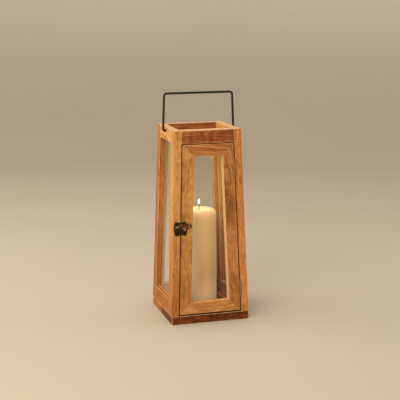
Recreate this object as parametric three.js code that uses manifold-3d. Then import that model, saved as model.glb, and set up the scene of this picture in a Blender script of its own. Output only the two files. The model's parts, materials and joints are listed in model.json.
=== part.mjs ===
// A tapered wooden candle lantern: a two-plank base, four leaning walls of wood and glass,
// a mitred glass door on two pin hinges, a hook latch, a rod bail and a pillar candle.
//
// Millimetres, +Z up. The origin is the centre of the base's underside and the door faces -Y.
// All four walls lean inwards alike, so one wall is drawn facing -Y and turned about Z.

import * as THREE from "three";
import { mergeVertices } from "three/addons/utils/BufferGeometryUtils.js";
import Module from "manifold-3d";

const wasm = await Module();
wasm.setup();

// ---- Driving dimensions -------------------------------------------------------------------

const GAP = 0.3; // clearance left between pieces that touch

const BASE_SIDE = 180;
const BASE_THICK = 19;
const BASE_SEAM_Y = 10; // where the two base planks meet

const BODY_TOP = 435; // top of the walls
const HALF_BOTTOM = 90; // half the width over the walls, at the base
const HALF_TOP = 76; // half the width over the walls, at the top
const WALL_THICK = 16;
const STILE_WIDTH = { front: 32, rear: 25 }; // uprights of the left and right walls
const TOP_RAIL_LOW = 406; // underside of the top rails
const BOTTOM_RAIL_TOP = 51.5;
const REAR_STRIP_WIDTH = 8.5; // slim glazing strips beside the rear pane

const GLASS_THICK = 2;
const GROOVE_DEEP = 5;

const DOOR_GAP = 3; // between the door's edges and the posts
const DOOR_LOW = 22.5;
const DOOR_HIGH = 403.8;
const DOOR_MEMBER = 26;
const MITRE_TRIM = 0.2; // taken off each mitred end, along the member
const STOP_WIDE = 9;
const STOP_DEEP = 10;
const STOP_TOP_LOW = 394; // underside of the top door stop

const HINGE_HEIGHTS = { bottom: 75, top: 351 };
const HINGE_HALF_LENGTH = 18;
const HINGE_AXIS_OUT = 1.9; // pin axis in front of the door's face
const LEAF_THICK = 1;
const LEAF_REACH = 14; // from the pin axis to the leaf's inner edge
const LEAF_START = 2.6; // where the full-height leaf begins
const KNUCKLE_RADIUS = 2.2;
const KNUCKLE_SPLIT = 6; // half the height of the door leaf's knuckle
const PIN_RADIUS = 1;
const PIN_HEAD_RADIUS = 1.8;
const PIN_HEAD_THICK = 1;
const HINGE_SCREW = { depth: 8.5, offset: 12, length: 9, shank: 0.9, head: 1.7, sink: 0.9 };

const LATCH_HEIGHT = 219; // centre of the latch plates
const LATCH_PLATE_THICK = 1.2;
const LATCH_PLATE_WIDE = 14;
const LATCH_PLATE_HALF = 16.4; // half height at the lobes
const LATCH_PLATE_WAIST = 14.4; // half height at the edge next to the door gap
const POST_PLATE_X = -68;
const DOOR_PLATE_X = -65;
const LATCH_NAIL_OFFSET = { across: 8.5, up: 13 };
const LATCH_NAIL = { length: 6.8, shank: 0.6, head: 1.3, sink: 0.7 };
const HOOK_PIVOT = { x: -58, z: -2 }; // on the door plate, z from the latch's centre
const HOOK_STUD = { x: -17.6, z: 6 }; // from the hook's pivot, on the post plate
const HOOK_TAB = { x: 11.5, z: 8 }; // finger tab's centre, from the hook's pivot
const HOOK_THICK = 2;
const HOOK_STANDOFF = 0.4; // between the plates and the hook
const HOOK_EYE_RADIUS = 4;
const HOOK_TAB_RADIUS = 5;
const STUD_RADIUS = 2;
const RIVET_RADIUS = 1.5;
const RIVET_HEAD_RADIUS = 2.6;

const BAIL_ROD_RADIUS = 2.5;
const BAIL_PIVOT_Z = 427;
const BAIL_TOP_Z = 510.5; // centreline of the grip
const BAIL_HALF_TOP = 79.4; // half the grip's length, between leg centrelines
const BAIL_HALF_BOTTOM = 82.6;
const BAIL_END_X = 63; // how far in towards the middle each end reaches
const BAIL_BEND_RADIUS = 6;

const PLATE_SIDE = 120; // thin metal plate under the candle
const PLATE_THICK = 1.2;

const CANDLE_RADIUS = 40;
const CANDLE_TOP = 244;
const CANDLE_SHOULDER = 9;
const CANDLE_DISH = 1.5;
const WICK_RADIUS = 0.9;
const WICK_SUNK = 7.7;
const WICK_PROUD = 10;

// ---- Materials ----------------------------------------------------------------------------

function material(color, roughness, metalness = 0) {
  return new THREE.MeshStandardMaterial({ color, roughness, metalness });
}

const WOOD_LIGHT = material(0xcd8c55, 0.6);
const WOOD_MID = material(0xb8763f, 0.6);
const WOOD_DARK = material(0x914e2a, 0.6);
const BASE_WOOD = material(0x6e3a22, 0.65);
const BLACK_METAL = material(0x1c1512, 0.45, 0.8);
const ANTIQUE_BRASS = material(0x4a3420, 0.4, 0.9);
const STEEL = material(0x8a8378, 0.4, 0.9);
const WAX = material(0xe6d6a8, 0.55);
const COTTON = material(0x2a211b, 0.9);
const GLASS = new THREE.MeshStandardMaterial({
  color: 0xdfe6e2,
  roughness: 0.05,
  metalness: 0,
  transparent: true,
  opacity: 0.3,
});

// ---- Geometry helpers ---------------------------------------------------------------------

// Half the width over the walls at height z.
const LEAN = (HALF_BOTTOM - HALF_TOP) / (BODY_TOP - BASE_THICK);
const LEAN_ANGLE = Math.atan(LEAN);

function half(z) {
  return HALF_BOTTOM - LEAN * (z - BASE_THICK);
}

// A point of the wall that faces -Y: x across it, depth behind its outer face, height z.
function wallPoint(x, depth, z) {
  return new THREE.Vector3(x, depth - half(z), z);
}

function shapeOf(outline) {
  return new THREE.Shape(outline.map(([u, v]) => new THREE.Vector2(u, v)));
}

// An extruded outline whose points (u, v), at t from 0 to 1 along it, are carried to place(u, v, t).
function carried(outline, place, steps = 1) {
  const geometry = new THREE.ExtrudeGeometry(shapeOf(outline), { depth: 1, steps, bevelEnabled: false });
  const position = geometry.getAttribute("position");
  for (let i = 0; i < position.count; i += 1) {
    const point = place(position.getX(i), position.getY(i), position.getZ(i));
    position.setXYZ(i, point.x, point.y, point.z);
  }
  geometry.computeVertexNormals();
  return geometry;
}

function box(low, high) {
  const size = high.map((value, axis) => value - low[axis]);
  const middle = high.map((value, axis) => (value + low[axis]) / 2);
  return new THREE.BoxGeometry(...size).translate(...middle);
}

// A solid of revolution about Z from (radius, height) points, from the bottom up.
function turned(profile, segments) {
  const points = profile.map(([radius, height]) => new THREE.Vector2(radius, height));
  return new THREE.LatheGeometry(points, segments).rotateX(Math.PI / 2);
}

function solidOf(geometry, matrix = new THREE.Matrix4()) {
  const bare = geometry.clone().applyMatrix4(matrix);
  bare.deleteAttribute("normal");
  bare.deleteAttribute("uv");
  const merged = mergeVertices(bare, 1e-4);
  return new wasm.Manifold(
    new wasm.Mesh({
      numProp: 3,
      vertProperties: merged.getAttribute("position").array,
      triVerts: new Uint32Array(merged.index.array),
    }),
  );
}

function geometryOf(solid, matrix = new THREE.Matrix4()) {
  const { vertProperties, triVerts } = solid.getMesh();
  const geometry = new THREE.BufferGeometry();
  geometry.setAttribute("position", new THREE.BufferAttribute(vertProperties, 3));
  geometry.setIndex(new THREE.BufferAttribute(triVerts, 1));
  geometry.applyMatrix4(matrix);
  const faceted = geometry.toNonIndexed();
  faceted.computeVertexNormals();
  return faceted;
}

function joined(pieces, holes) {
  let solid = solidOf(pieces[0]);
  for (const piece of pieces.slice(1)) {
    solid = solid.add(solidOf(piece));
  }
  for (const hole of holes) {
    solid = solid.subtract(solidOf(hole));
  }
  return geometryOf(solid);
}

// Cuts the same tool out of a placed mesh at the place of each of the given meshes.
function drill(mesh, tool, placed) {
  let solid = solidOf(mesh.geometry, mesh.matrixWorld);
  for (const { matrixWorld } of placed) {
    solid = solid.subtract(solidOf(tool, matrixWorld));
  }
  mesh.geometry = geometryOf(solid, mesh.matrixWorld.clone().invert());
}

function addMesh(parent, name, geometry, surface) {
  const mesh = new THREE.Mesh(geometry, surface);
  mesh.name = name;
  parent.add(mesh);
  return mesh;
}

// ---- Wall members -------------------------------------------------------------------------

// A rectangular cross-section, from a member's outer edge (u = 0) inwards and from front to back.
function section(width, depth) {
  return slab(0, width, 0, depth);
}

function slab(lowU, highU, lowV, highV) {
  return [
    [lowU, lowV],
    [highU, lowV],
    [highU, highV],
    [lowU, highV],
  ];
}

// An upright that keeps its distance from the wall's left (side = -1) or right edge.
function upright(outline, side, inset, low, high) {
  const placed = outline.map(([u, depth]) => [-side * (u + inset), depth]);
  return carried(placed, (x, depth, t) => {
    const z = THREE.MathUtils.lerp(low, high, t);
    return wallPoint(side * half(z) + x, depth, z);
  });
}

// A level member across the wall, its ends cut to the lean of the uprights. `insets` are its
// distances from the wall's left and right edges.
function crosspiece(outline, insets) {
  return carried(outline, (depth, z, t) => {
    const x = THREE.MathUtils.lerp(insets[0] - half(z), half(z) - insets[1], t);
    return wallPoint(x, depth, z);
  });
}

// A slab in the middle of the wall's thickness that reaches `bite` past the opening's edges.
function pane(insets, low, high, thick, bite) {
  const near = (WALL_THICK - thick) / 2;
  const reaches = insets.map((inset) => inset - bite);
  return crosspiece(slab(near, near + thick, low - bite, high + bite), reaches);
}

// Adds a pane to a frame and cuts the stopped groove that holds it into the frame's members.
function glaze(frame, name, insets, low, high) {
  const groove = pane(insets, low, high, GLASS_THICK + 2 * GAP, GROOVE_DEEP);
  for (const member of frame.children) {
    member.geometry = joined([member.geometry], [groove]);
  }
  addMesh(frame, name, pane(insets, low, high, GLASS_THICK, GROOVE_DEEP - GAP), GLASS);
}

const REAR_STRIP = section(REAR_STRIP_WIDTH, WALL_THICK);
const WALL_LOW = BASE_THICK + GAP;

function addRails(wall, side, insets, surface) {
  const top = slab(0, WALL_THICK, TOP_RAIL_LOW, BODY_TOP);
  const bottom = slab(0, WALL_THICK, WALL_LOW, BOTTOM_RAIL_TOP);
  addMesh(wall, `${side}_top_rail`, crosspiece(top, insets), surface);
  addMesh(wall, `${side}_bottom_rail`, crosspiece(bottom, insets), surface);
}

// The left and right walls own the lantern's corners. `ends` names the uprights at -x and +x.
function sideWall(side, turn, ends) {
  const wall = new THREE.Group();
  wall.rotation.z = turn;
  const widths = ends.map((end) => STILE_WIDTH[end]);
  ends.forEach((end, index) => {
    const outline = section(widths[index], WALL_THICK);
    const post = upright(outline, 2 * index - 1, 0, WALL_LOW, BODY_TOP);
    addMesh(wall, `${side}_${end}_post`, post, WOOD_LIGHT);
  });
  const insets = widths.map((width) => width + GAP);
  addRails(wall, side, insets, WOOD_LIGHT);
  glaze(wall, `${side}_glass`, widths, BOTTOM_RAIL_TOP, TOP_RAIL_LOW);
  return wall;
}

function rearWall() {
  const wall = new THREE.Group();
  wall.rotation.z = Math.PI;
  const inset = WALL_THICK + GAP;
  const low = BOTTOM_RAIL_TOP + GAP;
  const high = TOP_RAIL_LOW - GAP;
  addRails(wall, "rear", [inset, inset], WOOD_MID);
  addMesh(wall, "rear_right_strip", upright(REAR_STRIP, -1, inset, low, high), WOOD_MID);
  addMesh(wall, "rear_left_strip", upright(REAR_STRIP, 1, inset, low, high), WOOD_MID);
  const beyondStrip = inset + REAR_STRIP_WIDTH;
  glaze(wall, "rear_glass", [beyondStrip, beyondStrip], BOTTOM_RAIL_TOP, TOP_RAIL_LOW);
  return wall;
}

// The front has only a top rail, with laths behind the doorway for the door to close against.
function frontWall() {
  const wall = new THREE.Group();
  const inset = WALL_THICK + GAP;
  const stopBack = inset + STOP_DEEP;
  const stopSection = slab(0, STOP_WIDE, inset, stopBack);
  const rail = slab(0, WALL_THICK, TOP_RAIL_LOW, BODY_TOP);
  const topStop = slab(inset, stopBack, STOP_TOP_LOW, BODY_TOP);
  const stopHigh = STOP_TOP_LOW - GAP;
  addMesh(wall, "front_top_rail", crosspiece(rail, [inset, inset]), WOOD_DARK);
  addMesh(wall, "door_stop_top", crosspiece(topStop, [inset, inset]), WOOD_MID);
  addMesh(wall, "door_stop_left", upright(stopSection, -1, inset, WALL_LOW, stopHigh), WOOD_MID);
  addMesh(wall, "door_stop_right", upright(stopSection, 1, inset, WALL_LOW, stopHigh), WOOD_MID);
  return wall;
}

function base() {
  const group = new THREE.Group();
  const edge = BASE_SIDE / 2;
  const frontPlank = box([-edge, -edge, 0], [edge, BASE_SEAM_Y - GAP / 2, BASE_THICK]);
  const rearPlank = box([-edge, BASE_SEAM_Y + GAP / 2, 0], [edge, edge, BASE_THICK]);
  addMesh(group, "base_plank_front", frontPlank, BASE_WOOD);
  addMesh(group, "base_plank_rear", rearPlank, WOOD_MID);
  return group;
}

// ---- Door ---------------------------------------------------------------------------------

// The door's corner on the given side and level, `inward` from its outer edges: a point of the mitre.
function doorCorner([side, level], inward) {
  const z = level > 0 ? DOOR_HIGH - inward : DOOR_LOW + inward;
  const x = side * (half(z) - WALL_THICK - DOOR_GAP - inward);
  return new THREE.Vector2(x, z);
}

// One door member, between the mitres of two corners.
function doorMember(from, to) {
  return carried(section(DOOR_MEMBER, WALL_THICK), (inward, depth, t) => {
    const start = doorCorner(from, inward);
    const end = doorCorner(to, inward);
    const along = end.clone().sub(start).normalize().multiplyScalar(MITRE_TRIM);
    const point = t < 0.5 ? start.add(along) : end.sub(along);
    return wallPoint(point.x, depth, point.y);
  });
}

function door() {
  const group = new THREE.Group();
  const members = [
    ["door_left_stile", [-1, -1], [-1, 1], WOOD_MID],
    ["door_top_rail", [-1, 1], [1, 1], WOOD_MID],
    ["door_right_stile", [1, 1], [1, -1], WOOD_MID],
    ["door_bottom_rail", [1, -1], [-1, -1], WOOD_LIGHT],
  ];
  for (const [name, from, to, surface] of members) {
    addMesh(group, name, doorMember(from, to), surface);
  }
  const inset = WALL_THICK + DOOR_GAP + DOOR_MEMBER;
  glaze(group, "door_glass", [inset, inset], DOOR_LOW + DOOR_MEMBER, DOOR_HIGH - DOOR_MEMBER);
  return group;
}

// ---- Hinges -------------------------------------------------------------------------------

// Flat-headed screw pointing down -Z with its head's face at z = 0.
function screw({ length, shank, head, sink }) {
  const profile = [
    [0, -length],
    [shank, -length],
    [shank, -sink],
    [head, 0],
    [0, 0],
  ];
  return turned(profile, 10);
}

// The countersunk hole that such a screw sits in.
function countersink({ length, shank, head, sink }) {
  const profile = [
    [0, -length - GAP],
    [shank + GAP, -length - GAP],
    [shank + GAP, -sink],
    [head + GAP, 0],
    [head + GAP, GAP],
    [0, GAP],
  ];
  return turned(profile, 10);
}

function knuckle(low, high) {
  const middle = (low + high) / 2;
  const barrel = new THREE.CylinderGeometry(KNUCKLE_RADIUS, KNUCKLE_RADIUS, high - low, 16);
  return barrel.rotateX(Math.PI / 2).translate(0, 0, middle);
}

// One leaf with its knuckles, on the +x (post) or -x (door) side of the pin axis.
function hingeLeaf(side, spans) {
  const near = (DOOR_GAP / 2 - GAP - LEAF_THICK) * side;
  const far = (DOOR_GAP / 2 - GAP) * side;
  const left = Math.min(near, far);
  const right = Math.max(near, far);
  const pieces = [
    box([left, LEAF_START, -HINGE_HALF_LENGTH], [right, LEAF_REACH, HINGE_HALF_LENGTH]),
  ];
  for (const [low, high] of spans) {
    pieces.push(knuckle(low, high));
    pieces.push(box([left, PIN_RADIUS + GAP, low], [right, LEAF_START + GAP, high]));
  }
  const bore = PIN_RADIUS + GAP;
  const pinHole = new THREE.CylinderGeometry(bore, bore, 4 * HINGE_HALF_LENGTH, 16).rotateX(Math.PI / 2);
  return joined(pieces, [pinHole]);
}

function hingePin() {
  const end = HINGE_HALF_LENGTH + GAP;
  const tip = end + PIN_HEAD_THICK;
  const profile = [
    [0, -tip],
    [PIN_HEAD_RADIUS * 0.7, -tip],
    [PIN_HEAD_RADIUS, -end],
    [PIN_RADIUS, -end],
    [PIN_RADIUS, end],
    [PIN_HEAD_RADIUS, end],
    [PIN_HEAD_RADIUS * 0.7, tip],
    [0, tip],
  ];
  return turned(profile, 12);
}

// The pin's direction leans with the door's edge, and the leaves lie along that edge.
function hingeBasis() {
  const axis = new THREE.Vector3(-LEAN, LEAN, 1).normalize();
  const inward = new THREE.Vector3(0, 1, -LEAN).normalize();
  const across = inward.clone().cross(axis);
  return new THREE.Matrix4().makeBasis(across, inward, axis);
}

function hinge(name, height) {
  const group = new THREE.Group();
  group.position.copy(wallPoint(half(height) - WALL_THICK - DOOR_GAP / 2, -HINGE_AXIS_OUT, height));
  group.quaternion.setFromRotationMatrix(hingeBasis());
  const postSpans = [
    [-HINGE_HALF_LENGTH, -KNUCKLE_SPLIT - GAP / 2],
    [KNUCKLE_SPLIT + GAP / 2, HINGE_HALF_LENGTH],
  ];
  const doorSpans = [[-KNUCKLE_SPLIT + GAP / 2, KNUCKLE_SPLIT - GAP / 2]];
  const leaves = [
    addMesh(group, `hinge_${name}_post_leaf`, hingeLeaf(1, postSpans), STEEL),
    addMesh(group, `hinge_${name}_door_leaf`, hingeLeaf(-1, doorSpans), STEEL),
  ];
  addMesh(group, `hinge_${name}_pin`, hingePin(), STEEL);
  const face = DOOR_GAP / 2 - GAP - LEAF_THICK;
  const screws = [1, -1].map((side) =>
    [-1, 1].map((level) => {
      const label = `hinge_${name}_${side > 0 ? "post" : "door"}_screw_${level > 0 ? "upper" : "lower"}`;
      const mesh = addMesh(group, label, screw(HINGE_SCREW), STEEL);
      mesh.position.set(side * face, HINGE_SCREW.depth, level * HINGE_SCREW.offset);
      mesh.rotation.y = (-side * Math.PI) / 2;
      return mesh;
    }),
  );
  return { group, leaves, screws };
}

// ---- Latch --------------------------------------------------------------------------------

// Half of a butterfly plate: a straight edge at x = 0 and a lobed edge towards +x (or -x).
function latchPlate(direction) {
  const wide = direction * LATCH_PLATE_WIDE;
  const tip = LATCH_PLATE_HALF;
  const waist = LATCH_PLATE_WAIST;
  const shape = new THREE.Shape();
  shape.moveTo(0, -waist);
  shape.quadraticCurveTo(wide * 0.35, -waist, wide * 0.5, -tip);
  shape.quadraticCurveTo(wide * 0.85, -tip, wide * 0.86, -tip * 0.62);
  shape.quadraticCurveTo(wide * 1.13, 0, wide * 0.86, tip * 0.62);
  shape.quadraticCurveTo(wide * 0.85, tip, wide * 0.5, tip);
  shape.quadraticCurveTo(wide * 0.35, waist, 0, waist);
  shape.closePath();
  return standing(shape, LATCH_PLATE_THICK, GAP, 6);
}

// Extrudes a shape drawn in x and z towards -Y, from `lift` in front of the wall's face.
function standing(shape, thickness, lift, curveSegments) {
  const settings = { depth: thickness, bevelEnabled: false, curveSegments };
  const geometry = new THREE.ExtrudeGeometry(shape, settings);
  return geometry.rotateX(Math.PI / 2).translate(0, -lift, 0);
}

// The hook turns on the eye at (0, 0), drops over the stud with a notch cut about that eye, and is
// lifted by the round tab at its other end.
function latchHook() {
  const studReach = Math.hypot(HOOK_STUD.x, HOOK_STUD.z);
  const studAngle = Math.atan2(HOOK_STUD.z, HOOK_STUD.x);
  const clear = STUD_RADIUS + GAP;
  const mouthAngle = studAngle + (clear + 1.2) / studReach;
  const clawAngle = studAngle + (clear + 2.4) / studReach;
  const tabLow = HOOK_TAB.z - HOOK_TAB_RADIUS;
  const tabHigh = HOOK_TAB.z + HOOK_TAB_RADIUS;
  const shoulderX = HOOK_TAB.x - HOOK_TAB_RADIUS;
  const shape = new THREE.Shape();
  shape.absarc(0, 0, HOOK_EYE_RADIUS, -Math.PI, 0, false);
  shape.quadraticCurveTo(HOOK_EYE_RADIUS, tabLow, HOOK_TAB.x, tabLow);
  shape.absarc(HOOK_TAB.x, HOOK_TAB.z, HOOK_TAB_RADIUS, -Math.PI / 2, Math.PI * 0.6, false);
  shape.quadraticCurveTo(shoulderX, tabHigh, 0, tabHigh + 0.6);
  shape.quadraticCurveTo(HOOK_STUD.x / 2, tabHigh, HOOK_STUD.x, HOOK_STUD.z + clear + 2);
  shape.absarc(0, 0, studReach + clear + 2, studAngle - 0.06, clawAngle, false);
  shape.absarc(0, 0, studReach + clear, clawAngle, studAngle, true);
  shape.absarc(HOOK_STUD.x, HOOK_STUD.z, clear, studAngle, studAngle - Math.PI, true);
  shape.absarc(0, 0, studReach - clear, studAngle, mouthAngle, false);
  shape.quadraticCurveTo(HOOK_STUD.x / 2, HOOK_EYE_RADIUS, -HOOK_EYE_RADIUS, 0);
  const eye = new THREE.Path();
  eye.absarc(0, 0, RIVET_RADIUS + GAP, 0, 2 * Math.PI, true);
  shape.holes.push(eye);
  return standing(shape, HOOK_THICK, GAP + LATCH_PLATE_THICK + HOOK_STANDOFF, 6);
}

// The stud and the rivet stand up along +Z, with z = 0 at their plate's front face.
function latchStud() {
  const tip = HOOK_STANDOFF + HOOK_THICK + 0.8;
  const profile = [
    [0, -LATCH_PLATE_THICK],
    [STUD_RADIUS, -LATCH_PLATE_THICK],
    [STUD_RADIUS, tip - 0.7],
    [STUD_RADIUS * 0.6, tip - 0.1],
    [0, tip],
  ];
  return turned(profile, 16);
}

function latchRivet() {
  const underHead = HOOK_STANDOFF + HOOK_THICK + GAP;
  const profile = [
    [0, -LATCH_PLATE_THICK],
    [RIVET_RADIUS, -LATCH_PLATE_THICK],
    [RIVET_RADIUS, underHead],
    [RIVET_HEAD_RADIUS, underHead],
    [RIVET_HEAD_RADIUS * 0.7, underHead + 0.8],
    [0, underHead + 1],
  ];
  return turned(profile, 16);
}

function placeOnPlate(mesh, x, z) {
  mesh.position.set(x, -GAP - LATCH_PLATE_THICK, z);
  mesh.rotation.x = Math.PI / 2;
}

function latch() {
  const group = new THREE.Group();
  group.position.copy(wallPoint(0, 0, LATCH_HEIGHT));
  group.rotation.x = -LEAN_ANGLE;
  const postPlate = addMesh(group, "latch_post_plate", latchPlate(-1), ANTIQUE_BRASS);
  postPlate.position.x = POST_PLATE_X;
  const doorPlate = addMesh(group, "latch_door_plate", latchPlate(1), ANTIQUE_BRASS);
  doorPlate.position.x = DOOR_PLATE_X;
  const stud = addMesh(group, "latch_stud", latchStud(), ANTIQUE_BRASS);
  placeOnPlate(stud, HOOK_PIVOT.x + HOOK_STUD.x, HOOK_PIVOT.z + HOOK_STUD.z);
  const rivet = addMesh(group, "latch_pivot_rivet", latchRivet(), ANTIQUE_BRASS);
  placeOnPlate(rivet, HOOK_PIVOT.x, HOOK_PIVOT.z);
  const hook = addMesh(group, "latch_hook", latchHook(), ANTIQUE_BRASS);
  hook.position.set(HOOK_PIVOT.x, 0, HOOK_PIVOT.z);
  const nails = [
    ["post", POST_PLATE_X - LATCH_NAIL_OFFSET.across],
    ["door", DOOR_PLATE_X + LATCH_NAIL_OFFSET.across],
  ].map(([owner, x]) =>
    [-1, 1].map((level) => {
      const label = `latch_${owner}_nail_${level > 0 ? "upper" : "lower"}`;
      const nail = addMesh(group, label, screw(LATCH_NAIL), ANTIQUE_BRASS);
      placeOnPlate(nail, x, level * LATCH_NAIL_OFFSET.up);
      return nail;
    }),
  );
  return { group, postPlate, doorPlate, stud, rivet, postNails: nails[0], doorNails: nails[1] };
}

// ---- Bail ---------------------------------------------------------------------------------

// Points of a path of straight runs with rounded corners, each with the path's direction there.
function roundedPath(corners, radius, stepsPerCorner) {
  const stations = [];
  const last = corners.length - 1;
  stations.push({ point: corners[0], direction: corners[1].clone().sub(corners[0]).normalize() });
  for (let i = 1; i < last; i += 1) {
    const incoming = corners[i].clone().sub(corners[i - 1]).normalize();
    const outgoing = corners[i + 1].clone().sub(corners[i]).normalize();
    const turn = Math.atan2(incoming.cross(outgoing), incoming.dot(outgoing));
    const reach = radius * Math.tan(Math.abs(turn) / 2);
    const start = corners[i].clone().addScaledVector(incoming, -reach);
    const sideways = incoming.clone().rotateAround(new THREE.Vector2(), (Math.sign(turn) * Math.PI) / 2);
    const centre = start.clone().addScaledVector(sideways, radius);
    for (let step = 0; step <= stepsPerCorner; step += 1) {
      const angle = (turn * step) / stepsPerCorner;
      const point = start.clone().rotateAround(centre, angle);
      const direction = incoming.clone().rotateAround(new THREE.Vector2(), angle);
      stations.push({ point, direction });
    }
  }
  const end = corners[last].clone().sub(corners[last - 1]).normalize();
  stations.push({ point: corners[last], direction: end });
  return stations;
}

function circle(radius, sides) {
  const outline = [];
  for (let i = 0; i < sides; i += 1) {
    const angle = (2 * Math.PI * i) / sides;
    outline.push([radius * Math.cos(angle), radius * Math.sin(angle)]);
  }
  return outline;
}

// A round rod bent in the XZ plane, its two ends turned in along the pivot line.
function bail() {
  const corners = [
    new THREE.Vector2(-BAIL_END_X, BAIL_PIVOT_Z),
    new THREE.Vector2(-BAIL_HALF_BOTTOM, BAIL_PIVOT_Z),
    new THREE.Vector2(-BAIL_HALF_TOP, BAIL_TOP_Z),
    new THREE.Vector2(BAIL_HALF_TOP, BAIL_TOP_Z),
    new THREE.Vector2(BAIL_HALF_BOTTOM, BAIL_PIVOT_Z),
    new THREE.Vector2(BAIL_END_X, BAIL_PIVOT_Z),
  ];
  const stations = roundedPath(corners, BAIL_BEND_RADIUS, 5);
  const steps = stations.length - 1;
  const rod = carried(
    circle(BAIL_ROD_RADIUS, 12),
    (u, v, t) => {
      const { point, direction } = stations[Math.round(t * steps)];
      return new THREE.Vector3(point.x + u * direction.y, v, point.y - u * direction.x);
    },
    steps,
  );
  const group = new THREE.Group();
  addMesh(group, "bail_handle", rod, BLACK_METAL);
  return group;
}

// Where the bail's ends enter the side rails: one marker per side, its tool pointing outwards.
function bailHoles() {
  return [-1, 1].map((side) => {
    const marker = new THREE.Object3D();
    marker.position.set(side * (BAIL_END_X - GAP), 0, BAIL_PIVOT_Z);
    marker.rotation.y = (side * Math.PI) / 2;
    marker.updateMatrixWorld();
    return marker;
  });
}

function rod(radius, low, high, sides) {
  const middle = (low + high) / 2;
  const upright = new THREE.CylinderGeometry(radius, radius, high - low, sides).rotateX(Math.PI / 2);
  return upright.translate(0, 0, middle);
}

// ---- Candle -------------------------------------------------------------------------------

// A round pillar with a rounded shoulder, a shallow dished top and a hole for its wick.
function candle() {
  const low = BASE_THICK + 2 * GAP + PLATE_THICK;
  const hole = WICK_RADIUS + GAP;
  const profile = [
    [0, low],
    [CANDLE_RADIUS - 1, low],
    [CANDLE_RADIUS, low + 1],
  ];
  for (let step = 0; step <= 4; step += 1) {
    const angle = (step / 4) * (Math.PI / 2);
    const radius = CANDLE_RADIUS - CANDLE_SHOULDER * (1 - Math.cos(angle));
    profile.push([radius, CANDLE_TOP - CANDLE_SHOULDER * (1 - Math.sin(angle))]);
  }
  profile.push([CANDLE_RADIUS * 0.7, CANDLE_TOP - CANDLE_DISH]);
  profile.push([hole, CANDLE_TOP - CANDLE_DISH]);
  profile.push([hole, CANDLE_TOP - WICK_SUNK - GAP]);
  profile.push([0, CANDLE_TOP - WICK_SUNK - GAP]);
  const group = new THREE.Group();
  addMesh(group, "candle", turned(profile, 40), WAX);
  addMesh(group, "wick", rod(WICK_RADIUS, CANDLE_TOP - WICK_SUNK, CANDLE_TOP + WICK_PROUD, 8), COTTON);
  return group;
}

function candlePlate() {
  const edge = PLATE_SIDE / 2;
  const low = BASE_THICK + GAP;
  const group = new THREE.Group();
  addMesh(group, "candle_plate", box([-edge, -edge, low], [edge, edge, low + PLATE_THICK]), BLACK_METAL);
  return group;
}

// ---- Assembly -----------------------------------------------------------------------------

const lantern = new THREE.Group();
const rightWall = sideWall("right", Math.PI / 2, ["front", "rear"]);
const leftWall = sideWall("left", -Math.PI / 2, ["rear", "front"]);
const hinges = Object.entries(HINGE_HEIGHTS).map(([name, height]) => hinge(name, height));
const latchParts = latch();
lantern.add(base(), frontWall(), rightWall, rearWall(), leftWall, door());
lantern.add(...hinges.map(({ group }) => group), latchParts.group);
lantern.add(candlePlate(), candle(), bail());
lantern.updateMatrixWorld(true);

const named = (name) => lantern.getObjectByName(name);

// Screw holes through the leaves and on into the post and the door.
const screwHole = countersink(HINGE_SCREW);
for (const { leaves, screws } of hinges) {
  drill(leaves[0], screwHole, screws[0]);
  drill(leaves[1], screwHole, screws[1]);
  drill(named("right_front_post"), screwHole, screws[0]);
  drill(named("door_right_stile"), screwHole, screws[1]);
}

// Nail holes through the latch plates and into the wood, and rivet holes through the plates.
const nailHole = countersink(LATCH_NAIL);
const studHole = rod(STUD_RADIUS + GAP, -2 * LATCH_PLATE_THICK, GAP, 16);
const rivetHole = rod(RIVET_RADIUS + GAP, -2 * LATCH_PLATE_THICK, GAP, 16);
drill(latchParts.postPlate, nailHole, latchParts.postNails);
drill(latchParts.doorPlate, nailHole, latchParts.doorNails);
drill(latchParts.postPlate, studHole, [latchParts.stud]);
drill(latchParts.doorPlate, rivetHole, [latchParts.rivet]);
drill(named("left_front_post"), nailHole, latchParts.postNails);
drill(named("door_left_stile"), nailHole, latchParts.doorNails);

// Blind holes in the side top rails for the bail's ends.
const bailHole = rod(BAIL_ROD_RADIUS + GAP, 0, BAIL_HALF_BOTTOM - BAIL_END_X, 16);
const [leftHole, rightHole] = bailHoles();
drill(named("left_top_rail"), bailHole, [leftHole]);
drill(named("right_top_rail"), bailHole, [rightHole]);

export default lantern;
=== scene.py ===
"""A wooden candle lantern: finishes, softened edges, a lit candle, and a plain pale studio."""
import json
import math

import bmesh
import bpy
from mathutils import Matrix, Vector, noise


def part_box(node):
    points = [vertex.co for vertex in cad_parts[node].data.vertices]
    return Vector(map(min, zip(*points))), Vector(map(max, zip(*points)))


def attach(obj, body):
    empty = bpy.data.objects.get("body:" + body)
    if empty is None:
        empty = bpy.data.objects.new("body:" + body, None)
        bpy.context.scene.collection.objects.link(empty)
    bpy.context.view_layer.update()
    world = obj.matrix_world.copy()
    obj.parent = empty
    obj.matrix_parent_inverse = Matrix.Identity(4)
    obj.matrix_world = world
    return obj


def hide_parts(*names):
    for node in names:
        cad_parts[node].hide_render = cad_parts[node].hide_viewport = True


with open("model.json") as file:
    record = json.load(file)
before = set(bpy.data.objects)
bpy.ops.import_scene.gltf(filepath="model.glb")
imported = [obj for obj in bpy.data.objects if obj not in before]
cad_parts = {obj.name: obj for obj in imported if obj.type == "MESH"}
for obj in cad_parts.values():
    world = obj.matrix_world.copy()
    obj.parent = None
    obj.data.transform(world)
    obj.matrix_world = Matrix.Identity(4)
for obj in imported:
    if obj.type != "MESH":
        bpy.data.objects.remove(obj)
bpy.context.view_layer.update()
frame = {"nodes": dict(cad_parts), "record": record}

MM = 0.001

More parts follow.
